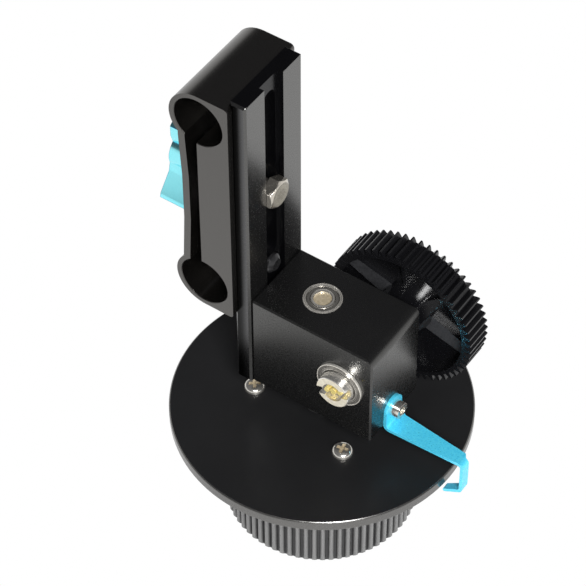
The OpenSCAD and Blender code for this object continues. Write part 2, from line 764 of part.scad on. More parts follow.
// A strip between the rod bores, from x_end or x_mid on its outer side to x_in
module jaw_outline(x_end, x_mid, x_in) {
    polygon([[x_in, lower_rod_z], [x_in, upper_rod_z], [x_end, upper_rod_z], [x_end, upper_rod_z - rod_r],
             [x_mid, bolt_z + jaw_flat / 2], [x_mid, bolt_z - jaw_flat / 2],
             [x_end, lower_rod_z + rod_r], [x_end, lower_rod_z]]);
}

module rod_clamp() {
    color([0.06, 0.06, 0.07])
    difference() {
        along_y(-clamp_w / 2, clamp_w) clamp_outline();
        for (z = [upper_rod_z, lower_rod_z], side = [-1, 1]) {
            translate([rod_x, side * clamp_w / 2, z]) rotate([side * 90, 0, 0])
                cylinder(h = bore_chamfer, r1 = rod_r + bore_chamfer, r2 = rod_r);
        }
        translate([bar_rear_x - slide_fit, -bar_w / 2 - slide_fit, lower_rod_z - 2 * rod_boss_r])
            cube([bar_t, bar_w + 2 * slide_fit, rod_pitch + 4 * rod_boss_r]);
        translate([0, 0, bolt_z]) rod_x_dir(jaw_face_x - cut, bar_rear_x - jaw_face_x + cut, bolt_d / 2 + slide_fit);
    }
}

module clamp_bolt() {
    head_chamfer_share = 0.9;
    color("silver")
    translate([channel_x, 0, bolt_z]) rotate([0, 90, 0]) {
        intersection() {
            cylinder(h = bolt_head_h, d = bolt_af / cos(30), $fn = 6);
            rotate_extrude() polygon([[0, 0], [bolt_af, 0], [bolt_af / 2 / cos(30), bolt_head_h * head_chamfer_share - cross_w / 2],
                                      [bolt_af / 2 * head_chamfer_share, bolt_head_h], [0, bolt_head_h]]);
        }
        translate([0, 0, bolt_end_x - channel_x]) cylinder(h = channel_x - bolt_end_x, d = bolt_d);
    }
}

module lever_washer() {
    color("gray")
    translate([lever_x, 0, bolt_z]) rotate([0, 90, 0]) tube(washer_t, washer_d / 2, bolt_d / 2 + slide_fit);
}

module clamp_lever() {
    arm_from = lever_end_x;
    color([0.16, 0.62, 0.85])
    translate([0, 0, bolt_z])
    difference() {
        union() {
            rod_x_dir(lever_end_x, lever_t, lever_hub_d / 2);
            along_x(arm_from, lever_arm_t) {
                polygon([for (s = arm_shares) lever_reach * s]);
                polygon([for (s = horn_shares) lever_horn * s]);
            }
        }
        rod_x_dir(bolt_end_x - seat_fit, bush_l + cut, bush_d / 2 + seat_fit);
    }
}

module lever_bush() {
    color("darkgray")
    translate([bolt_end_x, 0, bolt_z]) rotate([0, 90, 0]) tube(bush_l, bush_d / 2, bolt_d / 2 + running_fit);
}

// Children of disc_screw_places are drawn along Z from the focus disc's upper face
module disc_screw_places() {
    for (i = [0:disc_screw_count - 1]) {
        rotate([0, 0, disc_screw_angle + i * 360 / disc_screw_count]) translate([disc_screw_r, 0, disc_top]) children();
    }
}

module handwheel_knob() {
    screw_floor = knob_h - hub_seat;
    color([0.25, 0.25, 0.27])
    difference() {
        union() {
            difference() {
                intersection() {
                    linear_extrude(knob_h) polygon(knob_outline());
                    rotate_extrude() polygon([[0, -cut], [knob_r - knob_chamfer - cut, -cut], [knob_r + cut, knob_chamfer + cut],
                                              [knob_r + cut, knob_h + cut], [0, knob_h + cut]]);
                }
                translate([0, 0, knob_floor]) cylinder(h = knob_h, r = knob_inner_r);
            }
            cylinder(h = knob_h, d = hub_d);
            for (i = [0:disc_screw_count - 1]) {
                rotate([0, 0, disc_screw_angle + i * 360 / disc_screw_count]) translate([disc_screw_r, 0, knob_floor - cut])
                    cylinder(h = knob_h - knob_floor + cut, d = disc_boss_d);
            }
        }
        translate([0, 0, screw_floor]) flatted(hub_seat + cut, shaft_r + seat_fit, shaft_flat);
        cylinder(h = knob_h, r = m4 / 2 + slide_fit);
        translate([0, 0, -cut]) cylinder(h = cut + cap_t + knob_screw_head_h + slide_fit, r = knob_screw_head_d / 2 + slide_fit);
        translate([0, 0, -cut]) cylinder(h = cut + cap_t, r = cap_d / 2 + seat_fit);
        disc_screw_places() translate([0, 0, -disc_screw_l - cut]) cylinder(h = disc_screw_l + cut, r = m3 / 2 + seat_fit);
    }
}

module knob_cap() {
    color([0.1, 0.1, 0.1])
    cylinder(h = cap_t, d = cap_d);
}

module knob_screw() {
    color("silver")
    translate([0, 0, cap_t + knob_screw_head_h + slide_fit]) rotate([180, 0, 0])
        cap_screw(knob_screw_l, m4, knob_screw_head_d, knob_screw_head_h, hex_key);
}

module focus_disc() {
    color([0.04, 0.04, 0.05])
    difference() {
        translate([0, 0, disc_z]) rotate_extrude()
            polygon([[0, 0], [disc_r - disc_chamfer, 0], [disc_r, disc_chamfer], [disc_r, disc_t - disc_chamfer],
                     [disc_r - disc_chamfer, disc_t], [0, disc_t]]);
        translate([0, 0, disc_z - cut]) cylinder(h = disc_t + 2 * cut, r = shaft_r + seat_fit);
        translate([0, 0, disc_z - cut]) tube(cut + ring_seat, ring_outer_r + seat_fit, ring_inner_r - seat_fit);
        disc_screw_places() translate([0, 0, -disc_t - cut]) cylinder(h = disc_t + 2 * cut, r = m3 / 2 + slide_fit);
    }
}

module disc_screws() {
    color("silver")
    disc_screw_places() pan_screw(disc_screw_l);
}

module marking_ring() {
    color("white")
    translate([0, 0, disc_z + ring_seat - ring_t]) tube(ring_t, ring_outer_r, ring_inner_r);
}

module input_shaft() {
    start = knob_h - hub_seat;
    pin_z = input_hub_z + inner_hub_l / 2;
    top_gap = 0.6;
    end = upper_brg_z + top_brg_w - top_gap;
    color("lightgray")
    difference() {
        rotate_extrude() polygon([[0, start], [shaft_r, start], [shaft_r, upper_brg_z], [journal_r, upper_brg_z],
                                  [journal_r, end], [0, end]]);
        flat_cut(start - cut, hub_seat + cut);
        translate([0, 0, start - cut]) cylinder(h = knob_screw_l + cut, r = m4 / 2 + seat_fit);
        translate([0, 0, pin_z]) rod_x_dir(-shaft_d, 2 * shaft_d, gear_pin_d / 2 + seat_fit);
    }
}

module input_collar() {
    color("gray")
    translate([0, 0, disc_top]) tube(lower_brg_z - disc_top, spacer_d / 2, shaft_r + seat_fit);
}

module input_spacer() {
    from = lower_brg_z + main_brg_w;
    color("gray")
    translate([0, 0, from]) tube(input_hub_z - from, spacer_d / 2, shaft_r + seat_fit);
}

// A helical gear with its hub at the lower end, its teeth centred on z = 0 and a tooth or a gap on +X
module helical_gear(turn) {
    start = -inner_face_w / 2;
    difference() {
        union() {
            translate([0, 0, start]) rotate([0, 0, turn - inner_twist / 2])
                linear_extrude(inner_face_w, twist = -inner_twist, slices = inner_slices)
                polygon(gear_outline(inner_teeth, inner_pitch_r, inner_pressure, inner_normal_module, gear_play, inner_steps));
            translate([0, 0, start - inner_hub_l]) cylinder(h = inner_hub_l, d = inner_hub_d);
        }
        translate([0, 0, start - inner_hub_l - cut])
            cylinder(h = inner_hub_l + inner_face_w + 2 * cut, r = shaft_r + seat_fit);
        translate([0, 0, start - inner_hub_l / 2]) rod_x_dir(-inner_hub_d, 2 * inner_hub_d, gear_pin_d / 2 + seat_fit);
    }
}

module input_gear() {
    color("goldenrod")
    translate([0, 0, drive_z]) helical_gear(0);
}

module input_gear_pin() {
    color("gray")
    translate([0, 0, input_hub_z + inner_hub_l / 2]) rod_x_dir(-inner_hub_d / 2, inner_hub_d, gear_pin_d / 2);
}

module input_inner_rings() {
    color("gainsboro") {
        at_lower_bearing() inner_ring(main_in, main_out, main_brg_w);
        at_upper_bearing() inner_ring(top_in, top_out, top_brg_w);
    }
}

// The profile stands on the boss's end, which is z = 0 there
module drive_shaft() {
    start_y = boss_y - boss_l;
    flat_from = lens_hub_y - start_y;
    end = lens_end_y - lens_recess - washer_t / 2 - start_y;
    color("lightgray")
    on_drive_axis() translate([0, start_y, 0]) rotate([-90, 0, 0])
    difference() {
        rotate_extrude() polygon([[0, 0], [boss_d / 2 - boss_chamfer, 0], [boss_d / 2, boss_chamfer],
                                  [boss_d / 2, boss_l - boss_step], [shoulder_r, boss_l - boss_step],
                                  [shoulder_r, boss_l], [shaft_r, boss_l], [shaft_r, end], [0, end]]);
        translate([0, 0, -cut]) cylinder(h = socket_depth + cut, d = socket_d);
        rotate([0, 0, -boss_slot_angle]) translate([-boss_d, -boss_slot_w / 2, -cut])
            cube([2 * boss_d, boss_slot_w, boss_slot_depth + cut]);
        flat_cut(flat_from, end - flat_from + cut);
        translate([0, 0, end - end_screw_l]) cylinder(h = end_screw_l + cut, r = m4 / 2 + seat_fit);
        translate([0, 0, drive_hub_y + inner_hub_l / 2 - start_y]) rod_x_dir(-shaft_d, 2 * shaft_d, gear_pin_d / 2 + seat_fit);
    }
}

// A brass pin with two lobes that stands in the boss's socket
module drive_socket_insert() {
    base = boss_y - boss_l + socket_depth;
    height = socket_depth - insert_proud;
    lobe_x = socket_d / 2 - lobe_r - seat_fit;
    color("goldenrod")
    on_drive_axis() rotate([0, -boss_slot_angle, 0]) {
        rod_y_dir(base - height, height, insert_d / 2);
        for (side = [-1, 1]) {
            translate([side * lobe_x, 0, 0]) rod_y_dir(base - height, height, lobe_r);
            translate([side * lobe_x / 2 - lobe_x / 2, base - height / 2, -lobe_r / 2]) cube([lobe_x, height / 2, lobe_r]);
        }
    }
}

module drive_spacer() {
    from = inner_face_w / 2;
    color("gray")
    on_drive_axis() translate([0, from, 0]) rotate([-90, 0, 0]) tube(rear_brg_y - from, spacer_d / 2, shaft_r + seat_fit);
}

module drive_gear() {
    color("goldenrod")
    on_drive_axis() rotate([-90, 0, 0]) helical_gear(180 / inner_teeth);
}

module drive_gear_pin() {
    color("gray")
    on_drive_axis() translate([0, drive_hub_y + inner_hub_l / 2, 0]) rod_x_dir(-inner_hub_d / 2, inner_hub_d, gear_pin_d / 2);
}

module drive_inner_rings() {
    color("gainsboro") {
        at_rear_bearing() inner_ring(main_in, main_out, main_brg_w);
        at_front_bearing() inner_ring(main_in, front_out, front_brg_w);
    }
}

module lens_gear_spacer() {
    from = rear_brg_y + main_brg_w;
    color("gray")
    on_drive_axis() translate([0, from, 0]) rotate([-90, 0, 0]) tube(lens_hub_y - from, spacer_d / 2, shaft_r + seat_fit);
}

module lens_gear() {
    web_y = lens_end_y - lens_recess - lens_web_t;
    rib_y = lens_y + lens_rib_set;
    color([0.07, 0.07, 0.08])
    on_drive_axis()
    difference() {
        union() {
            difference() {
                along_y(lens_y, lens_face_w) rotate(lens_turn)
                    polygon(gear_outline(lens_teeth, lens_pitch_r, pressure_angle, lens_module, gear_play, lens_steps));
                rod_y_dir(lens_y - cut, web_y - lens_y + cut, lens_rim_r);
                rod_y_dir(lens_end_y - lens_recess, lens_recess + cut, lens_rim_r);
            }
            rod_y_dir(lens_hub_y, lens_end_y - lens_recess - lens_hub_y, lens_hub_d / 2);
            along_y(rib_y, web_y - rib_y + lens_web_t / 2) {
                for (i = [0:lens_rib_count - 1]) {
                    broad = i % (lens_rib_count / 2) == 0;
                    rotate(lens_rib_angle + i * 360 / lens_rib_count)
                        lens_rib((broad ? lens_pad_w : lens_rib_w) / 2, (broad ? lens_pad_end_w : lens_rib_w) / 2);
                }
            }
        }
        translate([0, lens_hub_y - cut, 0]) rotate([-90, 0, 0])
            flatted(lens_end_y - lens_hub_y + 2 * cut, shaft_r + seat_fit, shaft_flat);
    }
}

// Half of a rib's width is given at the hub and at the rim
module lens_rib(from, to) {
    start = lens_hub_d / 2 - lens_rim / 2;
    end = lens_rim_r + lens_rim / 2;
    polygon([[start, -from], [end, -to], [end, to], [start, from]]);
}

module lens_gear_washer() {
    from = lens_end_y - lens_recess;
    color("gray")
    on_drive_axis() translate([0, from, 0]) rotate([-90, 0, 0]) tube(washer_t, lens_washer_d / 2, m4 / 2 + slide_fit);
}

module lens_gear_screw() {
    from = lens_end_y - lens_recess + washer_t;
    color("dimgray")
    on_drive_axis() translate([0, from, 0]) rotate([-90, 0, 0]) cap_screw(end_screw_l, m4, end_head_d, end_head_h, hex_key);
}

gearbox_body();
slide_bar();
slide_bar_screws();
slot_stop_screw();
pointer();
pointer_screw();
bearing_outer_rings();
bearing_balls();
bearing_shields();
retaining_rings();
rod_clamp();
clamp_bolt();
lever_washer();
clamp_lever();
lever_bush();
handwheel_knob();
knob_cap();
knob_screw();
focus_disc();
disc_screws();
marking_ring();
input_shaft();
input_collar();
input_spacer();
input_gear();
input_gear_pin();
input_inner_rings();
drive_shaft();
drive_socket_insert();
drive_spacer();
drive_gear();
drive_gear_pin();
drive_inner_rings();
lens_gear_spacer();
lens_gear();
lens_gear_washer();
lens_gear_screw();
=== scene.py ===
import json
import math

import bpy
from mathutils import Matrix, Vector


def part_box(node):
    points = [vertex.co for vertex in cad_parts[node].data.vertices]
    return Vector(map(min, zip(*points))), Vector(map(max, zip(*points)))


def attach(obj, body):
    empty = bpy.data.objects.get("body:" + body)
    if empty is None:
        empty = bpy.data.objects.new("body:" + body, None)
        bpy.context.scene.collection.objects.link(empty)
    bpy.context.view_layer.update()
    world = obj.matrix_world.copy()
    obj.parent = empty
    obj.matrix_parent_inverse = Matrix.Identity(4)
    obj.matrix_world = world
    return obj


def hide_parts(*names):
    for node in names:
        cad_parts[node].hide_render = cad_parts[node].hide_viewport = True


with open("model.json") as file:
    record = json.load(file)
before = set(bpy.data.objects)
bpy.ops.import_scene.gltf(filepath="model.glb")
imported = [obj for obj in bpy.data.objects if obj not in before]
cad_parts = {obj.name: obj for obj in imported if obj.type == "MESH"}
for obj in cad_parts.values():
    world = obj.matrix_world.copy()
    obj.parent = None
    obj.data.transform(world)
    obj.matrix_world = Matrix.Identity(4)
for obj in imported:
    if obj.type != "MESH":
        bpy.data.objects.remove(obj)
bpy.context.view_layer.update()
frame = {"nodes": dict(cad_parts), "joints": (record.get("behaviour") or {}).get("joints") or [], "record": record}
nodes = frame["nodes"]
joints = {joint["name"]: joint for joint in frame["joints"]}
slots = {row["node"]: row["material_slot"] for row in frame["record"]["subparts"]}

# Lengths are written in millimetres and turned into Blender's metres with MM
MM = 0.001
UP = (0, 0, 1)
FRONT = (0, -1, 0)
SIDEWAYS = (0, 1, 0)
RIGHT = (1, 0, 0)
LEFT = (-1, 0, 0)
WHITE = (1, 1, 1)


# Places taken from the frame
def corners_of(node):
    low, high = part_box(node)
    return low / MM, high / MM


box_low, box_high = corners_of("gearbox_body")
bar_low, bar_high = corners_of("slide_bar")
drive_axis = Vector(joints["drive_spin"]["pos_m"]) / MM
bolt_axis = Vector(joints["lever_turn"]["pos_m"]) / MM
knob_radius = corners_of("handwheel_knob")[1].x
disc_top = corners_of("focus_disc")[1].z
shaft_top = corners_of("input_shaft")[1].z
boss_front = -corners_of("drive_shaft")[0].y
gear_back = corners_of("lens_gear")[1].y


# Materials
MATERIALS = {}
GRAIN_DEPTH = 0.03
GROOVE_DEPTH = 0.15
RIB_HEIGHT = 0.95
RIB_TOP_INSET = 0.05


def new_material(name):
    material = bpy.data.materials.new(name)
    material.use_nodes = True
    tree = material.node_tree
    tree.nodes.clear()
    out = tree.nodes.new("ShaderNodeOutputMaterial")
    shader = tree.nodes.new("ShaderNodeBsdfPrincipled")
    tree.links.new(shader.outputs["BSDF"], out.inputs["Surface"])
    MATERIALS[name] = material
    return tree, shader


def noise(tree, scale, detail=2.0, rough=0.5):
    coord = tree.nodes.new("ShaderNodeTexCoord")
    texture = tree.nodes.new("ShaderNodeTexNoise")
    texture.inputs["Scale"].default_value = scale
    texture.inputs["Detail"].default_value = detail
    texture.inputs["Roughness"].default_value = rough
    tree.links.new(coord.outputs["Object"], texture.inputs["Vector"])
    return texture.outputs["Fac"]


def remap(tree, value, to_low, to_high, from_low=0.3, from_high=0.7):
    """Stretches a value from one span to another; a noise keeps mostly between 0.3 and 0.7."""
    node = tree.nodes.new("ShaderNodeMapRange")
    node.inputs["From Min"].default_value = from_low
    node.inputs["From Max"].default_value = from_high
    node.inputs["To Min"].default_value = to_low
    node.inputs["To Max"].default_value = to_high
    tree.links.new(value, node.inputs["Value"])
    return node.outputs["Result"]


def mix_colour(tree, value, colour_a, colour_b):
    node = tree.nodes.new("ShaderNodeMix")
    node.data_type = "RGBA"
    node.inputs["A"].default_value = (*colour_a, 1)
    node.inputs["B"].default_value = (*colour_b, 1)
    tree.links.new(value, node.inputs["Factor"])
    return node.outputs["Result"]


def bump(tree, shader, value, strength, depth):
    node = tree.nodes.new("ShaderNodeBump")
    node.inputs["Strength"].default_value = strength
    node.inputs["Distance"].default_value = depth * MM
    tree.links.new(value, node.inputs["Height"])
    tree.links.new(node.outputs["Normal"], shader.inputs["Normal"])


def distance_from(tree, centre, across):
    """Distance in metres from a place in millimetres, measured along the directions that across holds."""
    coord = tree.nodes.new("ShaderNodeTexCoord")
    away = tree.nodes.new("ShaderNodeVectorMath")
    away.operation = "SUBTRACT"
    away.inputs[1].default_value = [c * MM for c in centre]
    plane = tree.nodes.new("ShaderNodeVectorMath")
    plane.operation = "MULTIPLY"
    plane.inputs[1].default_value = across
    length = tree.nodes.new("ShaderNodeVectorMath")
    length.operation = "LENGTH"
    tree.links.new(coord.outputs["Object"], away.inputs[0])
    tree.links.new(away.outputs["Vector"], plane.inputs[0])
    tree.links.new(plane.outputs["Vector"], length.inputs[0])
    return length.outputs["Value"]


def plain(name, colour_a, colour_b, rough, metallic=0.0, ior=1.5, grain=2500.0, strength=0.15, patch=60.0,
          tint=WHITE):
    """Patches between two colours, with a fine grain in the roughness and the bump."""
    tree, shader = new_material(name)
    patches = noise(tree, patch, 4.0, 0.6)
    fine = noise(tree, grain)
    colour = mix_colour(tree, remap(tree, patches, 0, 1), colour_a, colour_b)
    tree.links.new(colour, shader.inputs["Base Color"])
    tree.links.new(remap(tree, fine, *rough), shader.inputs["Roughness"])
    shader.inputs["Metallic"].default_value = metallic
    shader.inputs["IOR"].default_value = ior
    shader.inputs["Specular Tint"].default_value = (*tint, 1)
    bump(tree, shader, fine, strength, GRAIN_DEPTH)


def ringed(name, centre, across, reach, stops, metallic, rough, tint=(1, 0.955, 0.87)):
    """Shades of metal at distances from a centre, up to reach, with a groove at each dark one; the tables that use
    it paint highlights and shade into these shades, beside the metal's own tones.
    """
    tree, shader = new_material(name)
    share = remap(tree, distance_from(tree, centre, across), 0, 1, 0, reach * MM)
    ramp = tree.nodes.new("ShaderNodeValToRGB")
    points = ramp.color_ramp.elements
    points.remove(points[-1])
    for i, (distance, shade) in enumerate(stops):
        point = points[0] if i == 0 else points.new(distance / reach)
        point.position = distance / reach
        point.color = (*[shade * part for part in tint], 1)
    tree.links.new(share, ramp.inputs["Fac"])
    tree.links.new(ramp.outputs["Color"], shader.inputs["Base Color"])
    tree.links.new(remap(tree, noise(tree, 3200.0), *rough), shader.inputs["Roughness"])
    shader.inputs["Metallic"].default_value = metallic
    bump(tree, shader, ramp.outputs["Color"], 0.9, GROOVE_DEPTH)


def ribbed(name, valley, ridge):
    """The knob's grip, lighter on its ribs than in the grooves between them, where the dark is painted shade."""
    tree, shader = new_material(name)
    distance = distance_from(tree, (0, 0, 0), (1, 1, 0))
    top = knob_radius - RIB_TOP_INSET
    height = remap(tree, distance, 0, 1, (top - RIB_HEIGHT) * MM, top * MM)
    fine = noise(tree, 2500.0)
    tree.links.new(mix_colour(tree, height, valley, ridge), shader.inputs["Base Color"])
    tree.links.new(remap(tree, fine, 0.42, 0.54), shader.inputs["Roughness"])
    shader.inputs["IOR"].default_value = 1.55
    bump(tree, shader, fine, 0.2, GRAIN_DEPTH)


# Black aluminium
plain("black_anodised", (0.0035, 0.0035, 0.0038), (0.005, 0.005, 0.005), (0.24, 0.31), ior=1.77,
      strength=0.06, tint=(1, 0.99, 0.96))
plain("black_anodised_bar", (0.0035, 0.0035, 0.0038), (0.005, 0.005, 0.005), (0.22, 0.28), ior=2.0,
      strength=0.02, tint=(1, 0.99, 0.96))
plain("black_anodised_clamp", (0.0022, 0.0020, 0.0018), (0.0032, 0.0030, 0.0027), (0.20, 0.25), ior=1.87,
      strength=0.1, tint=(1, 0.96, 0.91))
# Painted shade: a near-black copy of the bar's black for the faces inside its channel and slot
plain("slot_painted_shade", (0.0016, 0.0016, 0.002), (0.0022, 0.0022, 0.0028), (0.2, 0.26), ior=1.27, strength=0.02)
plain("disc_black", (0.006, 0.006, 0.0066), (0.008, 0.008, 0.0086), (0.42, 0.48), strength=0.05)
plain("disc_rim", (0.02, 0.02, 0.02), (0.03, 0.029, 0.027), (0.2, 0.28), ior=2.1, tint=(1, 0.98, 0.95))
# Painted shade on the bar's side: it darkens toward the clamp, and its distances run from the bar's open face
ringed("bar_side_painted_shade", bar_high, (1, 0, 0), 6,
       ((0, 0.115), (1.0, 0.095), (1.9, 0.05), (2.6, 0.02), (3.4, 0.006), (6.0, 0.003)),
       1.0, (0.22, 0.28), tint=(1, 1, 1.02))

# Blue aluminium
plain("blue_anodised", (0.26, 0.84, 0.94), (0.34, 0.90, 0.98), (0.12, 0.17), metallic=0.95, grain=4000.0,
      strength=0.05)
# Painted reflection: a dark blue on the lever's rounded edges, for the dark room they reflect
plain("blue_edge_painted_reflection", (0.01, 0.16, 0.30), (0.02, 0.20, 0.36), (0.2, 0.3), metallic=0.6)
plain("blue_strip", (0.050, 0.60, 0.92), (0.115, 0.76, 1.0), (0.26, 0.40), metallic=0.28, ior=2.0,
      grain=2600.0, strength=0.7, patch=1900.0)
# Painted highlight: a pale blue on the pointer's rounded edges
plain("blue_strip_edge_painted_highlight", (0.30, 0.86, 1.0), (0.42, 0.92, 1.0), (0.3, 0.4), metallic=0.3)

# Steel
plain("steel", (0.72, 0.70, 0.66), (0.82, 0.80, 0.76), (0.18, 0.26), metallic=0.85, grain=5000.0,
      strength=0.06)
plain("turned_steel", (0.62, 0.57, 0.46), (0.82, 0.77, 0.64), (0.34, 0.46), metallic=0.3, grain=3200.0,
      strength=0.2, patch=700.0)
plain("worn_steel", (0.36, 0.30, 0.20), (0.54, 0.46, 0.33), (0.34, 0.46), metallic=0.3, grain=3200.0,
      strength=0.3, patch=1200.0)
plain("bolt_steel", (0.50, 0.47, 0.41), (0.62, 0.58, 0.52), (0.16, 0.22), metallic=0.92, grain=5000.0,
      strength=0.04)
plain("bearing_steel", (0.84, 0.81, 0.75), (0.92, 0.90, 0.84), (0.16, 0.24), metallic=0.7, grain=5000.0,
      strength=0.06)
plain("shield_steel", (0.20, 0.19, 0.17), (0.30, 0.28, 0.25), (0.3, 0.4), metallic=0.7, grain=5000.0,
      strength=0.1)
plain("black_steel", (0.022, 0.022, 0.024), (0.035, 0.035, 0.036), (0.12, 0.18), metallic=0.5, ior=1.4)
plain("zinc", (0.76, 0.73, 0.67), (0.86, 0.83, 0.77), (0.16, 0.22), metallic=0.92, grain=5000.0,
      strength=0.08)
# Turned rings, each a radius and a shade. On the bearings and the flange the light rims are painted highlights on
# the rings' edges and the dark lines the joints between rings; on the bolt's face the dark ring is painted shade
# on its chamfer
ringed("bolt_face_and_painted_shade", bolt_axis, (0, 1, 1), 6,
       ((0, 0.30), (1.2, 0.24), (2.4, 0.34), (3.3, 0.28), (3.7, 0.10), (3.95, 0.45), (4.3, 0.60)),
       0.35, (0.24, 0.36), tint=(1, 0.93, 0.78))
ringed("top_rings_and_painted_highlights", (0, 0, 0), (1, 1, 0), 6,
       ((0, 0.5), (2.45, 0.85), (2.6, 0.2), (2.75, 0.8), (3.1, 0.9), (3.35, 0.3), (3.5, 0.12), (3.65, 0.4),
        (4.3, 0.32), (4.55, 0.12), (4.7, 0.75), (4.95, 0.95), (5.08, 0.4), (5.2, 0.95), (5.5, 0.9)),
       0.85, (0.2, 0.28))
ringed("front_rings_and_painted_highlights", drive_axis, (1, 0, 1), 8,
       ((0, 0.4), (5.2, 0.15), (5.5, 0.7), (5.75, 0.1), (5.95, 0.6), (6.1, 0.1), (6.3, 0.3), (6.75, 0.22),
        (6.9, 1.0), (7.1, 1.0)),
       0.65, (0.2, 0.28))

# Brass and spacers
plain("brass", (0.84, 0.68, 0.22), (0.95, 0.80, 0.32), (0.22, 0.3), metallic=0.45, grain=5000.0,
      strength=0.08)
plain("spacer_metal", (0.10, 0.10, 0.10), (0.14, 0.14, 0.14), (0.3, 0.4), metallic=0.8)

# Plastic
# Painted shade: the grooves between the knob's ribs are near black, the ribs lighter
ribbed("knob_grip", (0.016, 0.016, 0.017), (0.165, 0.165, 0.165))
plain("ring_white", (0.78, 0.78, 0.77), (0.85, 0.85, 0.84), (0.5, 0.6))
plain("gear_plastic", (0.004, 0.004, 0.005), (0.007, 0.007, 0.008), (0.22, 0.30), ior=1.55, strength=0.2)
plain("gear_hub", (0.004, 0.004, 0.005), (0.007, 0.007, 0.008), (0.05, 0.08), ior=2.6, strength=0.01)
plain("gear_pad", (0.018, 0.018, 0.02), (0.055, 0.056, 0.06), (0.4, 0.5), grain=2200.0, strength=0.6,
      patch=1800.0)
plain("cap_plastic", (0.02, 0.02, 0.02), (0.03, 0.03, 0.03), (0.4, 0.5))


# Rounded edges
SHARP = math.radians(32)
FLAT = math.radians(0.4)
SAME_PLACE = 0.002
# Width of the rounding, by node
EDGE_ROUND = {
    "gearbox_body": 0.2, "slide_bar": 0.14, "rod_clamp": 0.2, "clamp_bolt": 0.16, "clamp_lever": 0.4,
    "pointer": 0.26, "pointer_screw": 0.14, "focus_disc": 0.12, "drive_shaft": 0.14, "lens_gear": 0.12,
    "slot_stop_screw": 0.12, "input_shaft": 0.16, "drive_socket_insert": 0.12,
    "lens_gear_screw": 0.12, "slide_bar_screws": 0.08, "lever_washer": 0.12, "input_collar": 0.12,
    "lens_gear_washer": 0.1, "knob_cap": 0.2, "bearing_outer_rings": 0.36, "input_inner_rings": 0.34,
    "drive_inner_rings": 0.24, "bearing_shields": 0.05,
}
# Rounded edges with painted light of their own: a painted dark reflection on the lever's and a painted highlight
# on the pointer's
EDGE_PAINTED_LIGHT = {"clamp_lever": "blue_edge_painted_reflection", "pointer": "blue_strip_edge_painted_highlight"}
# The right, front, top corner of a node, where it is rounded more than its edges are: reach and width
CORNERS = {"slide_bar": (0.65, 1.7), "rod_clamp": (1.3, 1.4)}


def group_with_ends(name):
    """An empty geometry group, with its input and its output."""
    group = bpy.data.node_groups.new(name, "GeometryNodeTree")
    group.interface.new_socket("Geometry", in_out="INPUT", socket_type="NodeSocketGeometry")
    group.interface.new_socket("Geometry", in_out="OUTPUT", socket_type="NodeSocketGeometry")
    start = group.nodes.new("NodeGroupInput").outputs[0]
    end = group.nodes.new("NodeGroupOutput").inputs[0]
    return group, start, end


def compare(group, value, operation, limit):
    test = group.nodes.new("FunctionNodeCompare")
    test.data_type = "FLOAT"
    test.operation = operation
    test.inputs["B"].default_value = limit
    group.links.new(value, test.inputs["A"])
    return test.outputs["Result"]


def soften_group():
    """Shades all faces smooth and leaves the edges above an angle sharp."""
    group, start, end = group_with_ends("soften")
    faces = group.nodes.new("GeometryNodeSetShadeSmooth")
    edges = group.nodes.new("GeometryNodeSetShadeSmooth")
    edges.domain = "EDGE"
    edges.inputs["Shade Smooth"].default_value = False
    angle = group.nodes.new("GeometryNodeInputMeshEdgeAngle")
    above = compare(group, angle.outputs["Unsigned Angle"], "GREATER_THAN", SHARP)
    group.links.new(start, faces.inputs["Geometry"])
    group.links.new(faces.outputs[0], edges.inputs["Geometry"])
    group.links.new(above, edges.inputs["Selection"])
    group.links.new(edges.outputs[0], end)
    return group


SOFTEN = soften_group()


def round_corner(obj, reach, width):
    low, high = corners_of(obj.name)
    place = Vector((high.x, low.y, high.z))
    near = [v.index for v in obj.data.vertices if (v.co / MM - place).length < reach]
    group = obj.vertex_groups.new(name="corner")
    group.add(near, 1.0, "REPLACE")
    step = obj.modifiers.new("corner", "BEVEL")
    step.affect = "VERTICES"
    step.width = width * MM
    step.segments = 5
    step.limit_method = "VGROUP"
    step.vertex_group = "corner"


def round_edges(obj, width, finish):
    step = obj.modifiers.new("edge", "BEVEL")
    step.width = width * MM
    step.segments = 2
    step.limit_method = "ANGLE"
    step.angle_limit = SHARP
    step.use_clamp_overlap = True
    step.miter_outer = "MITER_ARC"
    # A given finish paints light onto the rounded edges, as the lever's painted dark reflection and the pointer's
    # painted highlight do
    if finish:
        obj.data.materials.append(MATERIALS[finish])
        step.material = len(obj.data.materials) - 1


def dress(obj, width=0.0, finish=None):
    """Joins the solid's triangles, rounds its edges and shades it; width zero leaves the edges sharp."""
    weld = obj.modifiers.new("weld", "WELD")
    weld.merge_threshold = SAME_PLACE * MM
    if width:
        flat = obj.modifiers.new("flat", "DECIMATE")
        flat.decimate_type = "DISSOLVE"
        flat.angle_limit = FLAT
        if obj.name in CORNERS:
            round_corner(obj, *CORNERS[obj.name])
        round_edges(obj, width, finish)
    soft = obj.modifiers.new("soften", "NODES")
    soft.node_group = SOFTEN
    if width:
        normal = obj.modifiers.new("normal", "WEIGHTED_NORMAL")
        normal.keep_sharp = True
        normal.weight = 60


# Faces with a finish of their own, some of them with painted shade and painted highlights
FAR = 1000
# Depths in from the outer faces within which a piece counts as its end
BOSS_STEP = 0.85
SHAFT_STEP = 1.8
TOP_STEP = 1.2
FLANGE_STEP = 0.15
FRONT_STEP = 1.75
BAR_STEP = 1.55
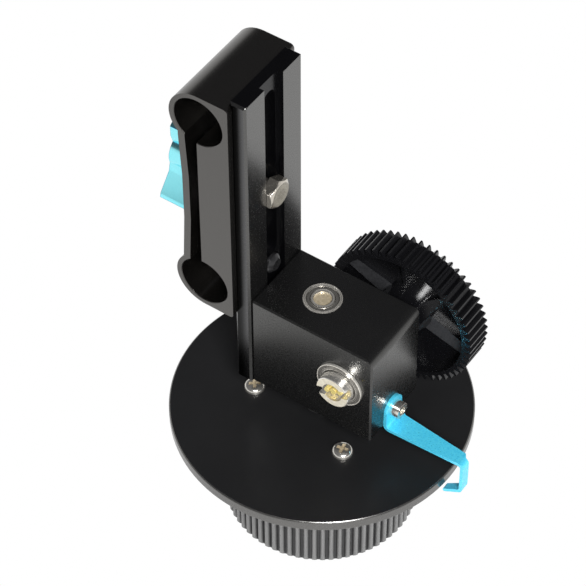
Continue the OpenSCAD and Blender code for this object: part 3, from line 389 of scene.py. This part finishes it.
# The lens gear's two pads are one strip across the gear, parted by the hub
PAD_ANGLE = math.radians(70)
PAD_HALF_WIDTH = 4.2
PAD_DEPTH = 4.4
PAD_STEP = 0.2
HUB_REACH = 7.85
CHANNEL_REACH = 6.5
CHANNEL_STEP = 0.3
pad_across = Vector((math.cos(PAD_ANGLE), 0, math.sin(PAD_ANGLE)))
pad_middle = pad_across.dot(drive_axis)
pad_place = gear_back - PAD_DEPTH


def facing(direction, least=0.97, most=1.01):
    """The faces whose normals hold a share of a direction between least and most."""
    return "normal", direction, least, most


def placed(direction, least=-FAR, most=FAR):
    """The faces whose middles lie between least and most along a direction."""
    return "place", direction, least, most


def around(direction, middle, reach):
    return placed(direction, middle - reach, middle + reach)


TOP_END = placed(UP, box_high.z - TOP_STEP)
FRONT_END = placed(FRONT, -box_low.y - FRONT_STEP)
FACE_FINISHES_AND_PAINTED_LIGHT = (
    ("drive_shaft", "turned_steel", (facing(FRONT), placed(FRONT, boss_front - BOSS_STEP))),
    ("input_shaft", "worn_steel", (facing(UP), placed(UP, shaft_top - SHAFT_STEP))),
    # The bolt's face gets the painted shade on its chamfer
    ("clamp_bolt", "bolt_face_and_painted_shade", (facing(RIGHT),)),
    # The bar's front side gets the painted shade by the clamp
    ("slide_bar", "bar_side_painted_shade", (facing(FRONT), placed(FRONT, -bar_low.y - BAR_STEP))),
    # The faces inside the bar's channel and slot get the painted shade
    ("slide_bar", "slot_painted_shade", (around(SIDEWAYS, 0, CHANNEL_REACH), facing(LEFT, -1.01, 0.5),
                                 placed(RIGHT, most=bar_high.x - CHANNEL_STEP))),
    ("focus_disc", "disc_rim", (facing(UP, -0.97, 0.97),)),
    ("lens_gear", "gear_pad", (facing(FRONT), around(SIDEWAYS, pad_place, PAD_STEP),
                               around(pad_across, pad_middle, PAD_HALF_WIDTH))),
    ("lens_gear", "gear_hub", (around(RIGHT, drive_axis.x, HUB_REACH), around(UP, drive_axis.z, HUB_REACH),
                               placed(SIDEWAYS, most=pad_place - PAD_STEP / 2), facing(FRONT, -0.5, 0.5))),
    # The bearings' ends get their rings with painted highlights on the edges
    ("bearing_outer_rings", "top_rings_and_painted_highlights", (TOP_END, facing(UP, 0.2))),
    ("bearing_outer_rings", "front_rings_and_painted_highlights", (placed(FRONT, -box_low.y - FLANGE_STEP), facing(FRONT, 0.2))),
    ("bearing_shields", "top_rings_and_painted_highlights", (TOP_END,)),
    ("bearing_shields", "front_rings_and_painted_highlights", (FRONT_END,)),
    ("input_inner_rings", "top_rings_and_painted_highlights", (TOP_END, facing(UP, 0.2))),
    ("drive_inner_rings", "front_rings_and_painted_highlights", (FRONT_END, facing(FRONT, 0.2))),
)
# Nodes whose finish isn't the one of their slot
OWN_FINISH = {"bearing_shields": "shield_steel", "clamp_bolt": "bolt_steel"}


def span_value(group, kind, direction):
    """A face's share or distance along a direction, with the unit of its limits."""
    if kind == "normal":
        source = group.nodes.new("GeometryNodeInputNormal").outputs["Normal"]
        unit = 1.0
    else:
        source = group.nodes.new("GeometryNodeInputPosition").outputs["Position"]
        unit = MM
    dot = group.nodes.new("ShaderNodeVectorMath")
    dot.operation = "DOT_PRODUCT"
    dot.inputs[1].default_value = direction
    group.links.new(source, dot.inputs[0])
    return dot.outputs["Value"], unit


def finish_faces(obj, material, spans):
    """Gives a material to the faces whose normal and place lie in all the spans."""
    group, start, end = group_with_ends("faces_" + obj.name)
    tests = []
    for kind, direction, least, most in spans:
        value, unit = span_value(group, kind, direction)
        tests.append(compare(group, value, "GREATER_THAN", least * unit))
        tests.append(compare(group, value, "LESS_THAN", most * unit))
    chosen = tests[0]
    for test in tests[1:]:
        both = group.nodes.new("FunctionNodeBooleanMath")
        both.operation = "AND"
        group.links.new(chosen, both.inputs[0])
        group.links.new(test, both.inputs[1])
        chosen = both.outputs[0]
    paint = group.nodes.new("GeometryNodeSetMaterial")
    paint.inputs["Material"].default_value = material
    group.links.new(start, paint.inputs["Geometry"])
    group.links.new(chosen, paint.inputs["Selection"])
    group.links.new(paint.outputs[0], end)
    step = obj.modifiers.new("faces", "NODES")
    step.node_group = group


for name, obj in nodes.items():
    obj.data.materials.clear()
    obj.data.materials.append(MATERIALS[OWN_FINISH.get(name, slots[name])])
    dress(obj, EDGE_ROUND.get(name, 0.0), EDGE_PAINTED_LIGHT.get(name))
for name, material, spans in FACE_FINISHES_AND_PAINTED_LIGHT:
    finish_faces(nodes[name], MATERIALS[material], spans)


# The three screws in the focus disc
SCREW_CIRCLE = 19.6
SCREW_ANGLE = 201
HEAD_RADIUS = 3.0
HEAD_HEIGHT = 1.9
HEAD_ROUND = 0.07
SHANK_RADIUS = 1.5
SHANK_LENGTH = 9
CROSS_HALF_WIDTH = 0.56
CROSS_HALF_LENGTH = 1.95
CROSS_DEPTH = 1.1
CUTTER_OVERRUN = 0.6
HEAD_SIDES = 56
# The turn of each screw's cross, in degrees
SCREW_TURNS = (38, 12, 71)
# The head's outline from its rim to its top, as shares of its radius and its height
HEAD_SHARES = ((0.96, 0), (1, 0.08), (1, 0.28), (0.965, 0.5), (0.88, 0.7), (0.74, 0.85), (0.55, 0.94),
               (0.3, 0.985))
# How much narrower the recess is at its floor, at the arms' ends and at their roots
CROSS_END_SHARE = 0.62
CROSS_ROOT_SHARE = 0.7


def new_piece(name, verts, faces, material):
    mesh = bpy.data.meshes.new(name)
    mesh.from_pydata([tuple(c * MM for c in v) for v in verts], [], faces)
    mesh.validate()
    mesh.polygons.foreach_set("use_smooth", [True] * len(mesh.polygons))
    mesh.materials.append(MATERIALS[material])
    obj = bpy.data.objects.new(name, mesh)
    bpy.context.scene.collection.objects.link(obj)
    return obj


def turned(profile, segments):
    """Vertices and faces of (radius, height) points turned round Z; both ends lie on the axis."""
    verts = [(0, 0, profile[0][1])]
    rings = profile[1:-1]
    for radius, height in rings:
        for i in range(segments):
            angle = 2 * math.pi * i / segments
            verts.append((radius * math.cos(angle), radius * math.sin(angle), height))
    verts.append((0, 0, profile[-1][1]))
    last_ring = 1 + (len(rings) - 1) * segments
    faces = []
    for i in range(segments):
        j = (i + 1) % segments
        faces.append((0, 1 + i, 1 + j))
        for k in range(len(rings) - 1):
            low = 1 + k * segments
            high = low + segments
            faces.append((low + i, high + i, high + j, low + j))
        faces.append((last_ring + i, len(verts) - 1, last_ring + j))
    return verts, faces


def cross_cutter():
    """A tapered cross-shaped plug for the recess of a screw."""
    a = CROSS_HALF_WIDTH
    b = CROSS_HALF_LENGTH
    outline = [(a, b), (-a, b), (-a, a), (-b, a), (-b, -a), (-a, -a),
               (-a, -b), (a, -b), (a, -a), (b, -a), (b, a), (a, a)]

    def drawn_in(value):
        return value * (CROSS_END_SHARE if abs(value) > a else CROSS_ROOT_SHARE)

    verts = [(x, y, HEAD_HEIGHT + CUTTER_OVERRUN) for x, y in outline]
    verts += [(drawn_in(x), drawn_in(y), HEAD_HEIGHT - CROSS_DEPTH) for x, y in outline]
    count = len(outline)
    faces = [tuple(range(count)), tuple(range(2 * count - 1, count - 1, -1))]
    for i in range(count):
        j = (i + 1) % count
        faces.append((i, i + count, j + count, j))
    return verts, faces


def cut_away(obj, cutter):
    """Takes the cutter's shape out of the piece and deletes the cutter."""
    step = obj.modifiers.new("cut", "BOOLEAN")
    step.operation = "DIFFERENCE"
    step.solver = "EXACT"
    step.material_mode = "TRANSFER"
    step.object = cutter
    bpy.context.view_layer.update()
    done = bpy.data.meshes.new_from_object(obj.evaluated_get(bpy.context.evaluated_depsgraph_get()))
    obj.modifiers.clear()
    obj.data = done
    bpy.data.objects.remove(cutter)


def pan_head(name):
    """A screw along Z with a domed head on the plane z = 0 and a cross recess."""
    dome = [(HEAD_RADIUS * across, HEAD_HEIGHT * up) for across, up in HEAD_SHARES]
    shank = [(0, -SHANK_LENGTH), (SHANK_RADIUS, -SHANK_LENGTH), (SHANK_RADIUS, 0)]
    screw = new_piece(name, *turned(shank + dome + [(0, HEAD_HEIGHT)], HEAD_SIDES), "zinc")
    cut_away(screw, new_piece(name + "_cutter", *cross_cutter(), "worn_steel"))
    return screw


for i, turn in enumerate(SCREW_TURNS):
    angle = math.radians(SCREW_ANGLE + 120 * i)
    screw = pan_head("disc_screw_%d" % (i + 1))
    place = Vector((SCREW_CIRCLE * math.cos(angle), SCREW_CIRCLE * math.sin(angle), disc_top))
    screw.data.transform(Matrix.Translation(place * MM) @ Matrix.Rotation(math.radians(turn), 4, "Z"))
    screw.data.update()
    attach(screw, "handwheel")
    dress(screw, HEAD_ROUND)
    if i == 0:
        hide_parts("disc_screws")


# Stage
FLOOR_HALF_SIZE = 3000
FLOOR_DROP = 0.2
KEY_PLACE = (620, -620, 950)
KEY_TARGET = (0, 0, 70)
KEY_SIZE = 350
KEY_POWER = 21
# The room is white below, pale to a little above the horizon and dark overhead: height of a direction, level
ROOM_LEVELS = ((0.24, 0.78), (0.34, 0.2))


def pale_floor():
    """A floor that is white for the camera and in reflections, and pale and matt for all other light."""
    material = bpy.data.materials.new("pale_floor")
    material.use_nodes = True
    tree = material.node_tree
    tree.nodes.clear()
    out = tree.nodes.new("ShaderNodeOutputMaterial")
    matt = tree.nodes.new("ShaderNodeBsdfDiffuse")
    matt.inputs["Color"].default_value = (0.9, 0.89, 0.87, 1)
    white = tree.nodes.new("ShaderNodeEmission")
    path = tree.nodes.new("ShaderNodeLightPath")
    seen = tree.nodes.new("ShaderNodeMath")
    seen.operation = "MAXIMUM"
    tree.links.new(path.outputs["Is Camera Ray"], seen.inputs[0])
    tree.links.new(path.outputs["Is Glossy Ray"], seen.inputs[1])
    mix = tree.nodes.new("ShaderNodeMixShader")
    tree.links.new(seen.outputs["Value"], mix.inputs["Fac"])
    tree.links.new(matt.outputs["BSDF"], mix.inputs[1])
    tree.links.new(white.outputs["Emission"], mix.inputs[2])
    tree.links.new(mix.outputs["Shader"], out.inputs["Surface"])
    reach = FLOOR_HALF_SIZE * MM
    corners = [(-reach, -reach, 0), (reach, -reach, 0), (reach, reach, 0), (-reach, reach, 0)]
    mesh = bpy.data.meshes.new("floor")
    mesh.from_pydata(corners, [], [(0, 1, 2, 3)])
    mesh.materials.append(material)
    floor = bpy.data.objects.new("floor", mesh)
    bpy.context.scene.collection.objects.link(floor)
    floor.location = (0, 0, -FLOOR_DROP * MM)


def studio_world():
    """A room whose level depends on the height of the direction, and which is white for the camera."""
    world = bpy.data.worlds.new("studio")
    bpy.context.scene.world = world
    world.use_nodes = True
    tree = world.node_tree
    tree.nodes.clear()
    out = tree.nodes.new("ShaderNodeOutputWorld")
    coord = tree.nodes.new("ShaderNodeTexCoord")
    split = tree.nodes.new("ShaderNodeSeparateXYZ")
    tree.links.new(coord.outputs["Generated"], split.inputs["Vector"])
    ramp = tree.nodes.new("ShaderNodeValToRGB")
    points = ramp.color_ramp.elements
    points[0].position = 0.0
    points[0].color = (1.0, 1.0, 1.0, 1)
    points[1].position = 0.5
    points[1].color = (0.075, 0.075, 0.08, 1)
    for height, level in ROOM_LEVELS:
        points.new(height).color = (level, level, level, 1)
    tree.links.new(split.outputs["Z"], ramp.inputs["Fac"])
    room = tree.nodes.new("ShaderNodeBackground")
    tree.links.new(ramp.outputs["Color"], room.inputs["Color"])
    white = tree.nodes.new("ShaderNodeBackground")
    path = tree.nodes.new("ShaderNodeLightPath")
    mix = tree.nodes.new("ShaderNodeMixShader")
    tree.links.new(path.outputs["Is Camera Ray"], mix.inputs["Fac"])
    tree.links.new(room.outputs["Background"], mix.inputs[1])
    tree.links.new(white.outputs["Background"], mix.inputs[2])
    tree.links.new(mix.outputs["Shader"], out.inputs["Surface"])


def key_light():
    data = bpy.data.lights.new("key", "AREA")
    data.shape = "RECTANGLE"
    data.size = KEY_SIZE * MM
    data.size_y = KEY_SIZE * MM
    data.energy = KEY_POWER
    light = bpy.data.objects.new("key", data)
    bpy.context.scene.collection.objects.link(light)
    light.location = Vector(KEY_PLACE) * MM
    aim = Vector(KEY_TARGET) - Vector(KEY_PLACE)
    light.rotation_euler = aim.to_track_quat("-Z", "Y").to_euler()


pale_floor()
studio_world()
key_light()

# Camera, solved on the photo's edges with the two rod bores as the scale
SENSOR_WIDTH = 36
LENS = 159.33
CAMERA_PLACE = (257.908, -384.691, 606.606)
CAMERA_BACK = (0.37902, -0.54473, 0.74807)
CAMERA_RIGHT = (0.82299, 0.56805, -0.00334)


def photo_camera():
    data = bpy.data.cameras.new("camera")
    data.sensor_width = SENSOR_WIDTH
    data.lens = LENS
    data.clip_start = 10 * MM
    data.clip_end = 20000 * MM
    camera = bpy.data.objects.new("camera", data)
    bpy.context.scene.collection.objects.link(camera)
    back = Vector(CAMERA_BACK).normalized()
    up = back.cross(Vector(CAMERA_RIGHT).normalized())
    right = up.cross(back)
    turn = Matrix((right, up, back)).transposed().to_4x4()
    camera.matrix_world = Matrix.Translation(Vector(CAMERA_PLACE) * MM) @ turn
    bpy.context.scene.camera = camera


photo_camera()
bpy.context.scene.view_settings.view_transform = "Standard"
